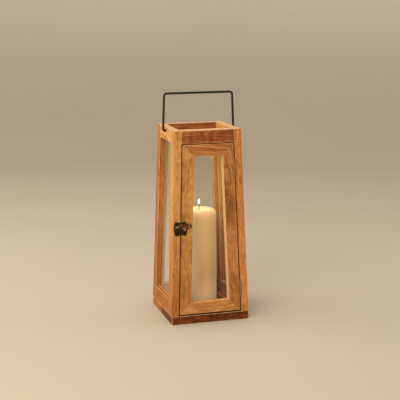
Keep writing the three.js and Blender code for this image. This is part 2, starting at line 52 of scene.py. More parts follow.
UP = Vector((0, 0, 1))
ALONG_X = Vector((1, 0, 0))
ALONG_Y = Vector((0, 1, 0))
FRONT = Vector((0, -1, 0))
REAR = Vector((0, 1, 0))
LEFT = Vector((-1, 0, 0))
RIGHT = Vector((1, 0, 0))

# ---- Driving dimensions, in millimetres ---------------------------------------------------

WOOD_ARRIS = 0.9  # radius of the softened edges
METAL_ARRIS = 0.22
ARRIS_SEGMENTS = 3
MERGE_DISTANCE = 0.002
SHARP_ANGLE = math.radians(35)
FLAT_ANGLE = math.radians(0.5)

BASE_THICK = 19
BODY_TOP = 435
HALF_BOTTOM = 90  # half the width over the walls, where they meet the base
LEAN = 14 / 416  # how far a wall leans in for each millimetre of height

BAIL_RADIUS = 2.5
BAIL_BEND = 6
BAIL_BEND_STEPS = 10
BAIL_SIDES = 20
BAIL_PATH = ((-63, 427), (-82.6, 427), (-79.4, 510.5), (79.4, 510.5), (82.6, 427), (63, 427))

CANDLE_RADIUS = 40
CANDLE_LOW = 20.8
CANDLE_TOP = 244
CANDLE_SHOULDER = 12
CANDLE_FOOT = 1.2
CANDLE_SIDES = 96
WAX_BAND_LOW = 35  # heights between which the paler bottom fades out and the band of painted shade fades in
WAX_BAND_HIGH = 100
POOL_RADIUS = 27
POOL_DEPTH = 2.6
WALL_STEPS = 28
SHOULDER_STEPS = 12
POOL_STEPS = 14
POOL_STEEPNESS = 1.9  # how soon the melted pool reaches its full depth
WAX_WANDER = 0.35  # how far the cast wall strays inwards
WANDER_ROUND = 1.3  # how quickly it strays round the candle, and up it
WANDER_UP = 0.03

WICK_RADIUS = 0.8
WICK_SIDES = 10
WICK_PATH = ((0, 0, 238), (0, 0, 246), (0.2, 0, 250), (0.7, -0.2, 253), (1.3, -0.4, 254.8))
FLAME_SIDES = 24
FLAME_LOW = 254.4
FLAME_PROFILE = ((0.0, 0.0), (0.5, 0.6), (1.1, 1.8), (1.8, 3.4), (2.1, 5.0), (1.95, 6.8),
                 (1.5, 9.0), (0.9, 11.0), (0.4, 12.6), (0.0, 13.4))

FILLER_DOTS = ((-72.2, 430.0, 1.0), (-67.3, 427.7, 0.8))  # x, height and radius
FILLER_PROUD = 0.15
FILLER_SUNK = 0.6
FILLER_FLAT = 0.6  # share of the radius that is flat
FILLER_SIDES = 16

BOSS_PLACE = (-47.0, 225.3, 3.9)  # x, height, and how far out from the front face
BOSS_RADIUS = 2.3
BOSS_PROUD = 0.9
BOSS_SUNK = 0.4
BOSS_STEPS = 6
BOSS_SIDES = 20

# ---- Material settings --------------------------------------------------------------------

GRAIN_DRIFT = 34  # how far the grain wanders sideways
RINGS_PER_METRE = 330
MIDDLE_TONE = 0.5  # also about the mean of every grain pattern but the fine lines
LINE_LEVEL = 0.2  # about the mean of the fine lines
GLASS_IOR = 1.34  # under float glass, which keeps the studio's reflection faint
RIM_TONE = "e0b07c"  # pale rim tone: wood rubbed bare on the arrises, which is also a painted highlight there, and a painted highlight on the top faces of the frame
LOW_SHADE_TINT = "d8a882"  # painted shade: the tint that darkens the low end of a post
LOW_SHADE_START = 60  # along the grain, from the middle of the piece
LOW_SHADE_END = -230
LIT_EDGE_FADE = 0.8
LIT_EDGE_START = 11.8  # where the painted highlight on the inner edge begins on a 26 mm door stile
ARRIS_WEAR_AND_HIGHLIGHT = 1.0  # share of the rim tone on an arris, where it is partly wear and partly painted highlight
CROWN_HIGHLIGHT = 1.5  # and on the top of the frame, which is the level faces in its top band: there it is a painted highlight for the light from above
CROWN_BAND = 1
LEVEL_ENOUGH = 0.9

# ---- Camera and studio, in metres but for the lens ----------------------------------------

CAMERA_AZIMUTH = math.radians(-15.97)
CAMERA_ELEVATION = math.radians(11.23)
CAMERA_ROLL = math.radians(-0.31)
CAMERA_DISTANCE = 2.375
CAMERA_TARGET = Vector((0.0026, 0.0, 0.264))
CAMERA_LENS = 93.13  # in millimetres, like the sensor
SENSOR_WIDTH = 36
NEAREST_SEEN = 0.05

COVE_RADIUS = 4.2
COVE_BEND = 2.0
COVE_HEIGHT = 2.8
COVE_SIDES = 96
COVE_STEPS = 24
FLOOR_RINGS = 4

# Soft square lights, in metres and watts: place, point aimed at, side, power and tint.
SOFT_LIGHTS = {
    "key_left": ((-1.7, -2.1, 1.9), (0, 0, 0.35), 1.9, 60, (1.0, 0.94, 0.86)),
    "side_left": ((-2.4, 0.1, 1.7), (0, 0, 0.35), 1.3, 20, (1.0, 0.94, 0.86)),
    "rear_left": ((-1.9, 1.1, 1.2), (0, 0, 0.2), 1.0, 13, (1.0, 0.97, 0.92)),
    "side_right": ((2.4, -0.4, 1.8), (0, 0, 0.3), 1.4, 9, (1.0, 0.95, 0.9)),
    "top_soft": ((0.2, 0.3, 2.8), (0, 0, 0), 2.0, 20, (1.0, 0.96, 0.92)),
}
GLOW_PLACE = (0, 0, 0.268)  # just above the flame
GLOW_POWER = 0.05
GLOW_TINT = (1.0, 0.82, 0.6)
GLOW_RADIUS = 5  # in millimetres
ROOM_TINT = (1.0, 0.95, 0.89, 1.0)
ROOM_STRENGTH = 0.36


def colour(code):
    """A linear colour from an sRGB hex code."""
    channels = [int(code[i:i + 2], 16) / 255 for i in (0, 2, 4)]
    linear = [((c + 0.055) / 1.055) ** 2.4 if c > 0.04045 else c / 12.92 for c in channels]
    return (*linear, 1.0)


def shaded(tone, share):
    """A linear colour with its three channels scaled by share."""
    return tuple(share * channel for channel in tone[:3]) + (1.0,)


class Shader:
    """A material's node tree, with one short call for each kind of node."""

    def __init__(self, name):
        self.material = bpy.data.materials.new(name)
        self.material.use_nodes = True
        self.tree = self.material.node_tree
        self.tree.nodes.clear()
        self.output = self.tree.nodes.new("ShaderNodeOutputMaterial")

    def node(self, kind, inputs=(), **settings):
        made = self.tree.nodes.new("ShaderNode" + kind)
        for key, value in settings.items():
            setattr(made, key, value)
        pairs = inputs.items() if isinstance(inputs, dict) else enumerate(inputs)
        for key, value in pairs:
            if isinstance(value, bpy.types.NodeSocket):
                self.tree.links.new(value, made.inputs[key])
            else:
                made.inputs[key].default_value = value
        return made

    def math(self, operation, *values):
        return self.node("Math", values, operation=operation).outputs[0]

    def vector(self, operation, *values):
        return self.node("VectorMath", values, operation=operation).outputs[0]

    def attribute(self, name, output="Vector"):
        return self.node("Attribute", attribute_name=name).outputs[output]

    def noise(self, place, scale, detail=2.0, roughness=0.5, output="Factor"):
        """Noise with a feature size of its own along each axis; scale is per metre."""
        stretched = self.vector("MULTIPLY", place, scale)
        settings = {"Vector": stretched, "Scale": 1.0, "Detail": detail, "Roughness": roughness}
        return self.node("TexNoise", settings).outputs[0 if output == "Factor" else 1]

    def line_noise(self, value, scale, detail=2.0):
        settings = {"W": value, "Scale": scale, "Detail": detail}
        return self.node("TexNoise", settings, noise_dimensions="1D").outputs[0]

    def spread(self, value, low, high, to_low=0.0, to_high=1.0):
        settings = (value, low, high, to_low, to_high)
        return self.node("MapRange", settings, interpolation_type="SMOOTHSTEP").outputs[0]

    def mix(self, factor, first, second, blend="MIX"):
        settings = {0: factor, 6: first, 7: second}
        return self.node("Mix", settings, data_type="RGBA", blend_type=blend).outputs[2]

    def ramp(self, factor, *stops):
        made = self.node("ValToRGB", (factor,))
        elements = made.color_ramp.elements
        while len(elements) < len(stops):
            elements.new(1.0)
        for element, (position, value) in zip(elements, stops):
            element.position = position
            element.color = value
        return made.outputs[0]

    def bump(self, height, distance, strength=1.0):
        settings = {"Height": height, "Distance": distance, "Strength": strength}
        return self.node("Bump", settings).outputs[0]

    def finish(self, inputs):
        surface = self.node("BsdfPrincipled", inputs)
        self.tree.links.new(surface.outputs[0], self.output.inputs["Surface"])
        return self.material


# ---- Materials ----------------------------------------------------------------------------


def grain_patterns(shader, on_piece, place, seed):
    """The noise patterns that wood's tone is built from, each stretched along the grain."""
    wander = shader.noise(place, (9, 24, 24), 3.0, 0.45, output="Color")
    swing = shader.vector("SUBTRACT", wander, (0.5, 0.5, 0.5))
    drift = shader.vector("MULTIPLY", swing, (0, GRAIN_DRIFT * MM, GRAIN_DRIFT * MM))
    bent = shader.vector("ADD", place, drift)
    piece_bent = shader.vector("ADD", on_piece, drift)

    pith = (0.0, 0.021 + 0.008 * math.sin(seed * 2.1), -0.034 + 0.014 * math.cos(seed * 1.3))
    from_pith = shader.vector("MULTIPLY", shader.vector("SUBTRACT", piece_bent, pith), (0.06, 1, 1))
    radius = shader.node("VectorMath", (from_pith,), operation="LENGTH").outputs["Value"]
    return {
        "piece_bent": piece_bent,
        "rings": shader.line_noise(shader.math("ADD", radius, seed * 0.77), RINGS_PER_METRE, 3.0),
        "line": shader.spread(shader.noise(bent, (9, 420, 300), 3.0, 0.6), 0.5, 0.68),
        "fibre": shader.noise(bent, (22, 760, 760), 3.0, 0.6),
        "streak": shader.noise(bent, (6, 150, 110), 3.0, 0.55),
        "fleck": shader.noise(bent, (70, 300, 300), 3.0, 0.65),
        "patch": shader.noise(bent, (14, 30, 30), 2.0, 0.5),
        "bars": shader.noise(place, (90, 22, 22), 2.0, 0.55),
        "pores": shader.spread(shader.noise(bent, (90, 1300, 1300), 1.0), 0.6, 0.72),
    }


def wood_tone(shader, patterns, figure, curl):
    """A tone from 0, dark, to 1, pale. figure and curl scale the grain and the cross bars."""
    shares = (("rings", 0.8 * figure), ("streak", 0.7 * figure), ("patch", 0.5 * figure), ("fleck", 0.75),
              ("fibre", 0.5), ("bars", 1.0 * curl), ("line", -0.2 * figure))
    tone = MIDDLE_TONE
    for pattern, share in shares:
        level = LINE_LEVEL if pattern == "line" else MIDDLE_TONE
        centred = shader.math("SUBTRACT", patterns[pattern], level)
        tone = shader.math("ADD", tone, shader.math("MULTIPLY", centred, share))
    return tone


def knotted(shader, body, patterns, knots, dark):
    """Darkens the wood round each (along, across, radius) from the piece's middle, in mm."""
    for along, across, size in knots:
        offset = shader.vector("SUBTRACT", patterns["piece_bent"], (along * MM, across * MM, 0))
        flattened = shader.vector("MULTIPLY", offset, (0.4, 1, 0))
        away = shader.node("VectorMath", (flattened,), operation="LENGTH").outputs["Value"]
        heart = shader.spread(away, 0.2 * size * MM, 1.5 * size * MM, 0.6, 0.0)
        broken = shader.spread(patterns["fleck"], 0.36, 0.58, 0.35, 1.0)
        body = shader.mix(shader.math("MULTIPLY", heart, broken), body, shaded(dark, 0.8))
    return body


def wood(name, tones, seed, figure=1.0, curl=0.0, knots=(), low_shade=0.0, lit_edge=None):
    """Oiled mango wood. The low-end option is how much painted shade darkens the piece towards the low end
    of its grain, and the edge option is how far across from the middle a pale strip of painted highlight
    begins."""
    pale, middle, dark = [colour(code) for code in tones]
    shader = Shader(name)
    on_piece = shader.attribute("grain")
    place = shader.vector("ADD", on_piece, (seed * 1.37, seed * 0.53, seed * 0.71))
    patterns = grain_patterns(shader, on_piece, place, seed)
    fibre, pores = patterns["fibre"], patterns["pores"]

    tone = wood_tone(shader, patterns, figure, curl)
    body = shader.ramp(tone, (0.14, dark), (0.5, middle), (0.84, pale))
    body = shader.mix(shader.math("MULTIPLY", pores, 0.5), body, shaded(dark, 0.45))
    body = knotted(shader, body, patterns, knots, dark)

    along, across = shader.node("SeparateXYZ", (on_piece,)).outputs[:2]
    # painted shade: darkens the low end of the grain, for the dimmer light near the base and the candle's
    # shadow inside
    if low_shade:
        depth = shader.spread(along, LOW_SHADE_END * MM, LOW_SHADE_START * MM, 1.0, 0.0)
        tint = tuple(part ** low_shade for part in colour(LOW_SHADE_TINT))
        body = shader.mix(depth, body, shader.mix(1.0, body, tint, "MULTIPLY"))
    # painted highlight: a pale strip on the inner edge of a door stile, where light from the left falls on
    # the reveal
    if lit_edge:
        lit_share = shader.spread(across, lit_edge * MM, (lit_edge + LIT_EDGE_FADE) * MM, 0.0, 0.6)
        lit_tone = shader.mix(patterns["streak"], colour("e9bb7c"), colour("f6d7a2"))
        body = shader.mix(lit_share, body, lit_tone)

    # the rim tone: wear and painted highlight on the arrises, and painted highlight on the top faces of the
    # frame
    rubbed = shader.spread(shader.noise(place, (60, 160, 160), 2.0), 0.34, 0.62, 0.45, 0.85)
    worn_and_lit = shader.math("MULTIPLY", shader.attribute("edge", "Fac"), rubbed)
    body = shader.mix(worn_and_lit, body, colour(RIM_TONE))

    relief = shader.math("SUBTRACT", fibre, shader.math("MULTIPLY", pores, 0.8))
    return shader.finish({
        "Base Color": body,
        "Roughness": shader.spread(shader.math("ADD", fibre, pores), 0.3, 1.2, 0.42, 0.66),
        "Specular IOR Level": 0.12,
        "Normal": shader.bump(relief, 0.12 * MM, 0.8),
    })


def powder_coat():
    """Near-black powder-coated steel with a faint orange-peel surface."""
    shader = Shader("black_powder_coat")
    place = shader.attribute("grain")
    cloud = shader.noise(place, (40, 40, 40), 3.0)
    peel = shader.noise(place, (1500, 1500, 1500), 2.0)
    rubbed = shader.math("MULTIPLY", shader.attribute("edge", "Fac"), shader.spread(cloud, 0.45, 0.6))
    body = shader.mix(cloud, colour("0d0907"), colour("17100d"))
    return shader.finish({
        "Base Color": shader.mix(shader.math("MULTIPLY", rubbed, 0.4), body, colour("6b5b50")),
        "Roughness": shader.spread(cloud, 0.3, 0.7, 0.4, 0.58),
        "Specular IOR Level": 0.3,
        "Normal": shader.bump(peel, 0.05 * MM, 0.6),
    })


def antique_metal(name, patina, metal, rough, shine):
    """Tarnished metal: dark patina in the hollows and bare metal where fingers rub."""
    shader = Shader(name)
    place = shader.attribute("grain")
    cloud = shader.noise(place, (240, 240, 240), 4.0, 0.62)
    speck = shader.noise(place, (1400, 1400, 1400), 2.0)
    bare = shader.spread(cloud, 0.48, 0.66, 0.0, shine)
    handled = shader.spread(cloud, 0.3, 0.55, 0.35, 0.95)
    rubbed = shader.math("MULTIPLY", shader.attribute("edge", "Fac"), handled)
    body = shader.mix(shader.math("MAXIMUM", bare, rubbed), colour(patina), colour(metal))
    return shader.finish({
        "Base Color": shader.mix(shader.spread(speck, 0.58, 0.7, 0.0, 0.45), body, colour("1c120b")),
        "Metallic": 0.9,
        "Roughness": shader.spread(cloud, 0.3, 0.7, rough + 0.14, rough - 0.08),
        "Normal": shader.bump(speck, 0.04 * MM, 0.7),
    })


def wax():
    """Ivory paraffin: deep scattering, a painted warm glow on its crown, casting clouds, a band of painted
    shade up the middle of its wall, painted light on its left side, and a paler bottom."""
    shader = Shader("ivory_wax")
    place = shader.attribute("grain")
    cloud = shader.noise(place, (18, 18, 9), 3.0)
    fine = shader.noise(place, (600, 600, 420), 3.0)
    left_right, _, height = shader.node("SeparateXYZ", (place,)).outputs
    low, high, top = WAX_BAND_LOW * MM, WAX_BAND_HIGH * MM, CANDLE_TOP * MM
    body = shader.mix(shader.spread(cloud, 0.3, 0.7), colour("eecd92"), colour("f5daa8"))

    # painted shade: a darker orange band up the middle of the wall, fading out towards the top
    above_foot = shader.spread(height, low, high, 0.0, 0.35)
    below_top = shader.spread(height, high, 0.7 * top, 1.0, 0.0)
    body = shader.mix(shader.math("MULTIPLY", above_foot, below_top), body, colour("bd9560"))

    # painted light on the left side, where light through the left pane falls on the wax, and a paler bottom
    reach = CANDLE_RADIUS * MM
    lit_left_side = shader.spread(left_right, -0.7 * reach, -0.1 * reach, 1.0, 0.0)
    paler_bottom = shader.spread(height, low, high, 0.7, 0.0)
    lit_left_and_pale_bottom = shader.math("MULTIPLY", shader.math("MAXIMUM", lit_left_side, paler_bottom), 0.85)
    body = shader.mix(lit_left_and_pale_bottom, body, colour("fff1cc"))

    # painted light: the crown is lightened and, below, glows with a faint warm emission, for the flame's
    # light on the top of the wax
    crown = shader.spread(height, 0.8 * top, top)
    body = shader.mix(shader.math("MULTIPLY", crown, 0.5), body, colour("fbe3b4"))
    relief = shader.math("ADD", fine, shader.math("MULTIPLY", cloud, 3.0))
    return shader.finish({
        "Base Color": body,
        "Subsurface Weight": 0.65,
        "Subsurface Radius": (1.0, 0.62, 0.34),
        "Subsurface Scale": 0.012,
        "Roughness": shader.spread(fine, 0.3, 0.7, 0.44, 0.58),
        # painted glow: the crown's emission stands in for the flame's light on the wax
        "Emission Color": shader.mix(shader.math("POWER", crown, 3.0), (0, 0, 0, 1), (0.5, 0.35, 0.22, 1)),
        "Emission Strength": 0.13,
        "Sheen Weight": 0.9,
        "Sheen Roughness": 0.35,
        "Sheen Tint": colour("fff0cf"),
        "Normal": shader.bump(relief, 0.1 * MM, 0.6),
    })


def charred_cotton():
    """A burnt braid that stays matt all over."""
    shader = Shader("charred_cotton")
    place = shader.attribute("grain")
    braid = shader.node("TexWave", {"Vector": place, "Scale": 420.0, "Distortion": 3.0}).outputs[1]
    return shader.finish({
        "Base Color": shader.mix(braid, colour("120d0a"), colour("3b2c22")),
        "Roughness": shader.spread(braid, 0.0, 1.0, 0.95, 0.8),
        "Normal": shader.bump(braid, 0.1 * MM),
    })


def flame_light():
    """A flame that is orange at the wick, near white in the middle and amber at its tip."""
    shader = Shader("flame")
    height = shader.node("SeparateXYZ", (shader.attribute("grain"),)).outputs[2]
    flame_high = FLAME_LOW + FLAME_PROFILE[-1][1]
    share = shader.spread(height, FLAME_LOW * MM, flame_high * MM)
    stops = ((0.0, "ff8c3a"), (0.22, "ffe9bf"), (0.8, "ffe9bf"), (1.0, "ffbe62"))
    return shader.finish({
        "Base Color": colour("fff0cf"),
        "Emission Color": shader.ramp(share, *[(position, colour(code)) for position, code in stops]),
        "Emission Strength": 2.6,
    })


def filler():
    """Dark gritty paste in the nail holes."""
    shader = Shader("nail_filler")
    grit = shader.noise(shader.attribute("grain"), (900, 900, 900), 3.0)
    return shader.finish({
        "Base Color": shader.mix(grit, colour("24120a"), colour("5a3418")),
        "Roughness": shader.spread(grit, 0.3, 0.7, 0.5, 0.7),
    })


def window_glass():
    """Clear float glass with faint fingermarks, which lets light through to the candle."""
    shader = Shader("float_glass")
    place = shader.node("TexCoord").outputs["Object"]
    smudge = shader.noise(place, (22, 22, 15), 4.0, 0.6)
    pane = shader.node("BsdfPrincipled", {
        "Base Color": (0.92, 0.885, 0.84, 1.0),
        "Transmission Weight": 1.0,
        "IOR": GLASS_IOR,
        "Roughness": shader.spread(smudge, 0.5, 0.75, 0.0, 0.045),
    })
    clear = shader.node("BsdfTransparent", {"Color": (0.92, 0.9, 0.87, 1.0)})
    shadow = shader.node("LightPath").outputs["Is Shadow Ray"]
    both = shader.node("MixShader", (shadow, pane.outputs[0], clear.outputs[0]))
    shader.tree.links.new(both.outputs[0], shader.output.inputs["Surface"])
    return shader.material


def backdrop_paint():
    """Pale matt paint that grows lighter up the wall."""
    shader = Shader("pale_backdrop")
    place = shader.node("TexCoord").outputs["Object"]
    cloud = shader.noise(place, (1.5, 1.5, 1.5), 3.0)
    grit = shader.noise(place, (260, 260, 260), 2.0)
    height = shader.node("SeparateXYZ", (place,)).outputs[2]
    rise = shader.spread(height, 0.1, 1.2)
    floor = shader.mix(cloud, colour("c0b39e"), colour("c8bca8"))
    return shader.finish({
        "Base Color": shader.mix(rise, floor, colour("f4ebdc")),
        "Roughness": 0.8,
        "Normal": shader.bump(grit, 0.2 * MM, 0.3),
    })


# ---- Meshes -------------------------------------------------------------------------------


def body_of(node):
    """The body that a CAD node moves with."""
    for body, members in frame["record"]["behaviour"]["bodies"].items():
        if node in members:
            return body


SLOTS = {part["node"]: part["material_slot"] for part in frame["record"]["subparts"]}


def grain_axes(points, run, out):
    """The directions along and across the grain and out of the face, for one piece."""
    along = run
    if run.z:
        middle = sum(p.z for p in points) / len(points)
        ends = [[p for p in points if (p.z > middle) == above] for above in (True, False)]
        upper, lower = [sum(end, Vector()) / len(end) for end in ends]
        along = (upper - lower).normalized()
    across = out.cross(along).normalized()
    return along, across, along.cross(across)


def write_grain(mesh, centre, axes):
    """Stores each vertex's place along, across and out of the piece, for the materials."""
    layer = mesh.attributes.new("grain", "FLOAT_VECTOR", "POINT")
    for vertex in mesh.vertices:
        offset = vertex.co - centre
        layer.data[vertex.index].vector = [offset.dot(axis) for axis in axes]


def to_mesh(shape, name):
    """Closes the bmesh and gives its faces as a mesh with smooth shading."""
    mesh = bpy.data.meshes.new(name)
    shape.to_mesh(mesh)
    shape.free()
    for face in mesh.polygons:
        face.use_smooth = True
    return mesh


def link(name, data):
    made = bpy.data.objects.new(name, data)
    bpy.context.scene.collection.objects.link(made)
    return made


def add_piece(mesh, name, material, body, slot, *nodes):
    """Adds a mesh that rides on a body and stands for the given CAD nodes, if any."""
    mesh.materials.append(material)
    piece = link(name, mesh)
    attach(piece, body)
    if nodes:
        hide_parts(*nodes)
    return piece


def softened(node, material, arris, run=ALONG_X, out=UP):
    """A copy of a CAD solid with rounded arrises, which stands for the node."""
    shape = bmesh.new()
    shape.from_mesh(frame["nodes"][node].data)
    bmesh.ops.remove_doubles(shape, verts=shape.verts, dist=MERGE_DISTANCE * MM)
    bmesh.ops.dissolve_limit(shape, angle_limit=FLAT_ANGLE, verts=shape.verts, edges=shape.edges)
    shape.normal_update()
    sharp = [e for e in shape.edges if e.is_manifold and e.calc_face_angle() > SHARP_ANGLE]
    made = bmesh.ops.bevel(shape, geom=sharp, offset=arris * MM, offset_type="OFFSET", affect="EDGES",
                           segments=ARRIS_SEGMENTS, profile=0.5, clamp_overlap=True)
    edge = shape.loops.layers.float.new("edge")
    # painted highlight: the level faces at the top of the frame take the rim tone, for the light from above
    for face in shape.faces:
        if face.normal.z > LEVEL_ENOUGH and face.calc_center_median().z > (BODY_TOP - CROWN_BAND) * MM:
            for loop in face.loops:
                loop[edge] = CROWN_HIGHLIGHT
    # the arrises take the rim tone, partly wear and partly painted highlight
    for face in made["faces"]:
        for loop in face.loops:
            loop[edge] = ARRIS_WEAR_AND_HIGHLIGHT
    mesh = to_mesh(shape, f"{node}_finished")
    points = [vertex.co.copy() for vertex in mesh.vertices]
    low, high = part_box(node)
    write_grain(mesh, (low + high) / 2, grain_axes(points, run, out))
    piece = add_piece(mesh, f"{node}_finished", material, body_of(node), SLOTS[node], node)
    even = piece.modifiers.new("even_shading", "WEIGHTED_NORMAL")
    even.keep_sharp = True
    return piece


def turned(name, profile, sides, material, body, slot, nodes=(), wander=0.0):
    """A lathe shape about Z from (radius, height) pairs. wander is how far it strays inwards."""
    shape = bmesh.new()
    rings = []
    for radius, height in profile:
        if radius == 0:
            rings.append([shape.verts.new((0, 0, height * MM))])
            continue
        ring = []
        for step in range(sides):
            angle = step / sides * math.tau
            spot = Vector((math.cos(angle), math.sin(angle), 0))
            stray = wander * noise.noise(spot * WANDER_ROUND + Vector((0, 0, height * WANDER_UP)))
            inwards = min(0.0, stray - 0.5 * wander) * min(1.0, radius / CANDLE_RADIUS)
            ring.append(shape.verts.new((spot * (radius + inwards) + Vector((0, 0, height))) * MM))
        rings.append(ring)
    for lower, upper in zip(rings, rings[1:]):
        for step in range(sides):
            corners = [lower[step % len(lower)], lower[(step + 1) % len(lower)],
                       upper[(step + 1) % len(upper)], upper[step % len(upper)]]
            shape.faces.new(list(dict.fromkeys(corners)))
    bmesh.ops.recalc_face_normals(shape, faces=shape.faces)
    mesh = to_mesh(shape, name)
    write_grain(mesh, Vector(), (ALONG_X, ALONG_Y, UP))
    return add_piece(mesh, name, material, body, slot, *nodes)


def swept(name, path, radius, sides, material, body, slot, nodes):
    """A round rod along a path of points, in metres, with a flat cap at each end."""
    shape = bmesh.new()
    rings = []
    side = ALONG_Y
    for index, point in enumerate(path):
        ahead = path[min(index + 1, len(path) - 1)] - path[max(index - 1, 0)]
        first = side.cross(ahead).normalized()
        second = ahead.cross(first).normalized()
        angles = [step / sides * math.tau for step in range(sides)]
        rings.append([shape.verts.new(point + radius * MM * (math.cos(a) * first + math.sin(a) * second))
                      for a in angles])
    for lower, upper in zip(rings, rings[1:]):
        for step in range(sides):
            after = (step + 1) % sides
            shape.faces.new((lower[step], lower[after], upper[after], upper[step]))
    shape.faces.new(rings[0])
    shape.faces.new(rings[-1])
    bmesh.ops.recalc_face_normals(shape, faces=shape.faces)
    mesh = to_mesh(shape, name)
    write_grain(mesh, Vector(), (ALONG_X, ALONG_Y, UP))
    return add_piece(mesh, name, material, body, slot, *nodes)


def rounded_path(corners, radius, steps):
    """The corners as points in metres, with an arc of the given radius at each inner one."""
    points = [corners[0]]
    for before, corner, after in zip(corners, corners[1:], corners[2:]):
        back = (before - corner).normalized()
        ahead = (after - corner).normalized()
        half = back.angle(ahead) / 2
        reach = radius / math.tan(half)
        centre = corner + (back + ahead).normalized() * radius / math.sin(half)
        start = corner + back * reach - centre
        end = corner + ahead * reach - centre
        for step in range(steps + 1):
            points.append(centre + radius * start.slerp(end, step / steps).normalized())
    return [*points, corners[-1]]


# ---- The lantern's pieces -----------------------------------------------------------------

# Pale, middle and dark tones of the boards.
SAND = ("e2b074", "d09652", "98612b")
STRAW = ("e8bd80", "d6a55e", "9c6a30")
TAN = ("e0ab6c", "cb914f", "905b28")
FAWN = ("dca267", "c08045", "8a542a")
WHEAT = ("d8a35f", "c08647", "82552a")
COPPER = ("dfa064", "ca8041", "8a5022")
HONEY = ("cd9652", "b27738", "784c22")
ORANGE = ("c47d2f", "aa6210", "74400b")
GINGER = ("c08240", "a66628", "773f17")
HAZEL = ("c98b52", "ab6a36", "75421f")
CHESTNUT = ("cc9158", "b27642", "734321")
RUSSET = ("b97443", "95542a", "5f2f17")
UMBER = ("8f4e20", "62300f", "351806")

DOOR_KNOTS = ((46, 3, 15), (-118, -5, 7))  # along, across and radius, in millimetres

# For each board: grain direction, show face, tones, seed and the options of wood().
BOARDS = {
    "left_front_post": (UP, FRONT, TAN, 1, {"figure": 0.8, "low_shade": 0.75}),
    "left_rear_post": (UP, LEFT, GINGER, 2, {"figure": 1.1, "low_shade": 0.3}),
    "left_top_rail": (ALONG_Y, LEFT, SAND, 3, {}),
    "left_bottom_rail": (ALONG_Y, LEFT, ORANGE, 4, {"figure": 0.8}),
    "right_front_post": (UP, FRONT, COPPER, 5, {"figure": 0.9}),
    # painted shade: the strong low-end shade on this post, the right door stop and the right rear strip
    # stands for the candle's shadow inside
    "right_rear_post": (UP, RIGHT, STRAW, 6, {"figure": 0.8, "low_shade": 1.8}),
    "right_top_rail": (ALONG_Y, RIGHT, SAND, 7, {"figure": 0.7}),
    # painted shade: the dark russet tone of this rail stands for the candle's shadow inside
    "right_bottom_rail": (ALONG_Y, RIGHT, RUSSET, 8, {}),
    "front_top_rail": (ALONG_X, FRONT, RUSSET, 9, {"figure": 0.9, "curl": 0.8}),
    "door_stop_top": (ALONG_X, FRONT, CHESTNUT, 10, {}),
    "door_stop_left": (UP, FRONT, CHESTNUT, 11, {}),
    "door_stop_right": (UP, FRONT, STRAW, 12, {"low_shade": 1.8}),
    "rear_top_rail": (ALONG_X, REAR, RUSSET, 13, {}),
    "rear_bottom_rail": (ALONG_X, REAR, RUSSET, 14, {}),
    "rear_left_strip": (UP, REAR, HONEY, 15, {}),
    "rear_right_strip": (UP, REAR, SAND, 16, {"low_shade": 1.8}),
    "door_left_stile": (UP, FRONT, WHEAT, 17, {"figure": 0.75, "curl": 0.35, "low_shade": 0.35}),
    "door_right_stile": (UP, FRONT, CHESTNUT, 18, {"figure": 0.9, "curl": 0.35, "lit_edge": LIT_EDGE_START,
                                                   "knots": DOOR_KNOTS}),
    "door_top_rail": (ALONG_X, FRONT, HAZEL, 19, {"figure": 1.2}),
    "door_bottom_rail": (ALONG_X, FRONT, FAWN, 20, {"figure": 0.8}),
    "base_plank_front": (ALONG_X, UP, UMBER, 21, {"figure": 0.8, "curl": 0.4}),
    "base_plank_rear": (ALONG_X, UP, ORANGE, 22, {}),
}


def boards():
    for node, (run, out, tones, seed, options) in BOARDS.items():
        softened(node, wood(f"wood_{node}", tones, seed, **options), WOOD_ARRIS, run, out)


def metalwork():
    """The hinges and the latch: dark plates, a coppered hook and rubbed bright heads."""
    bright = antique_metal("rubbed_brass", "7b6852", "dccfb8", 0.3, 1.0)
    tab_boss(bright)
    finishes = {
        "latch": antique_metal("antique_brass", "2c1c10", "a67a42", 0.42, 0.4),
        "hinge": antique_metal("dull_hinge_brass", "98795a", "c9ae88", 0.45, 0.9),
    }
    special = {
        "latch_pivot_rivet": bright,
        "latch_stud": bright,
        "latch_hook": antique_metal("coppered_brass", "56331c", "d2a273", 0.38, 0.65),
    }
    for family, material in finishes.items():
        for node in sorted(frame["nodes"]):
            if node.startswith(family):
                softened(node, special.get(node, material), METAL_ARRIS)


def bail(black):
    """The bail is one bent rod, and its ends run through the side rails."""
    corners = [Vector((x * MM, 0, z * MM)) for x, z in BAIL_PATH]
    path = rounded_path(corners, BAIL_BEND * MM, BAIL_BEND_STEPS)
    swept("bail_rod", path, BAIL_RADIUS, BAIL_SIDES, black, "bail", "black_metal", ["bail_handle"])


def candle_profile():
    """Foot, wall, rounded shoulder and melted pool, as (radius, height) pairs."""
    wall_top = CANDLE_TOP - CANDLE_SHOULDER
    foot_and_wall = [(0, CANDLE_LOW), (CANDLE_RADIUS - CANDLE_FOOT, CANDLE_LOW),
                     (CANDLE_RADIUS, CANDLE_LOW + CANDLE_FOOT)]
    for step in range(1, WALL_STEPS):
        foot_and_wall.append((CANDLE_RADIUS, CANDLE_LOW + (wall_top - CANDLE_LOW) * step / WALL_STEPS))
    shoulder = []
    for step in range(SHOULDER_STEPS + 1):
        angle = step / SHOULDER_STEPS * math.pi / 2
        radius = CANDLE_RADIUS - CANDLE_SHOULDER * (1 - math.cos(angle))
        shoulder.append((radius, wall_top + CANDLE_SHOULDER * math.sin(angle)))
    pool = []
    for step in range(1, POOL_STEPS + 1):
        share = step / POOL_STEPS
        depth = POOL_DEPTH * math.sin(min(1.0, share * POOL_STEEPNESS) * math.pi / 2) ** 2
        pool.append((POOL_RADIUS * (1 - share), CANDLE_TOP - depth))
    return foot_and_wall + shoulder + pool


